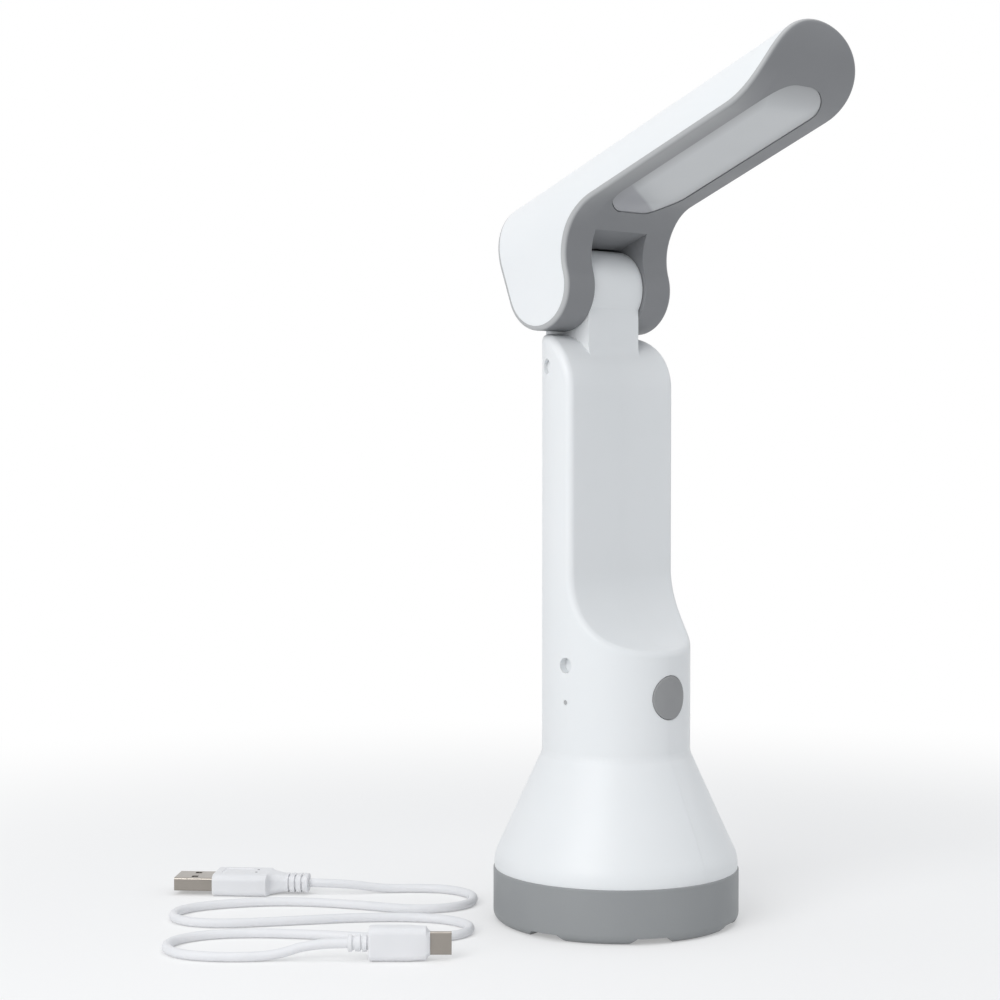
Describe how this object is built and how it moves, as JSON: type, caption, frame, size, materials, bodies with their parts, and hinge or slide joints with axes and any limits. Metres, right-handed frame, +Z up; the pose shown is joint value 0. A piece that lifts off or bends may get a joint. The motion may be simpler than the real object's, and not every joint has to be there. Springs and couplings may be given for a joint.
{
  "type": "rechargeable lantern",
  "caption": "Rechargeable lantern: a torch that stands on its bezel, with a push button on the barrel and a folding swing-arm lamp head on a friction hinge, and its charging cable.",
  "frame": {"origin": "centre of the torch bezel's foot, on the surface it stands on", "axes": "+Z up along the barrel; the flat front and the button face -Y; the hinge of the lamp head runs along X"},
  "size_m": [0.1784, 0.2165, 0.2804],
  "materials": {
    "white_shell": "satin white moulded plastic",
    "bezel_grey": "mid grey moulded plastic, fine texture",
    "tray_grey": "mid grey moulded plastic, satin",
    "button_grey": "grey soft button",
    "milky_diffuser": "milky translucent plastic",
    "clear_lens": "clear polished plastic",
    "mirror_metal": "vacuum-metallised reflector",
    "heat_sink_alloy": "turned alloy",
    "led_body": "yellow phosphor on white",
    "alloy_board": "white solder mask on alloy",
    "green_board": "green solder mask",
    "black_plastic": "black moulded plastic",
    "bright_steel": "nickel-plated pressed steel",
    "screw_steel": "plated steel",
    "battery_wrap": "shrink-wrapped cell",
    "seal_rubber": "soft seal",
    "lead_insulation": "insulated lead",
    "white_inner": "white reflecting frame",
    "cable_white": "white soft cable jacket"
  },
  "bodies": {
    "base": {"body_shell_left": "white_shell", "body_shell_right": "white_shell", "body_screws": "screw_steel", "torch_bezel": "bezel_grey", "lens_seal": "seal_rubber", "torch_lens": "clear_lens", "torch_reflector": "mirror_metal", "torch_led": "led_body", "torch_led_board": "alloy_board", "torch_heat_sink": "heat_sink_alloy", "torch_leads": "lead_insulation", "main_board": "green_board", "board_components": "black_plastic", "tact_switch": "black_plastic", "usb_socket": "bright_steel", "indicator_led": "led_body", "light_pipe": "clear_lens", "battery_cradle": "black_plastic", "battery_cell": "battery_wrap", "battery_contacts": "bright_steel", "battery_leads": "lead_insulation", "hinge_pin": "screw_steel", "hinge_washer": "screw_steel", "hinge_spring": "screw_steel", "hinge_nut": "screw_steel", "lamp_lead_lower": "lead_insulation", "charging_cable": "cable_white", "usb_strain_relief": "cable_white", "usb_plug_housing": "cable_white", "usb_plug_shell": "bright_steel", "usb_plug_insert": "black_plastic", "micro_strain_relief": "cable_white", "micro_plug_housing": "cable_white", "micro_plug_shell": "bright_steel", "micro_plug_insert": "black_plastic"},
    "head": {"head_shell": "white_shell", "head_tray": "tray_grey", "lamp_diffuser": "milky_diffuser", "light_box": "white_inner", "lamp_led_board": "alloy_board", "lamp_leds": "led_body", "head_screws": "screw_steel", "lamp_lead_upper": "lead_insulation"},
    "button": {"button_cap": "button_grey", "switch_plunger": "black_plastic"}
  },
  "joints": [
    {"name": "head_tilt", "type": "hinge", "parent": "base", "child": "head", "pos_m": [0, 0.0123, 0.2055], "axis": [-1, 0, 0], "range_deg": [-111, 69]},
    {"name": "button_press", "type": "slide", "parent": "base", "child": "button", "axis": [0, 1, 0], "range_m": [0, 0.0006], "stiffness_N_per_m": 2000}
  ]
}
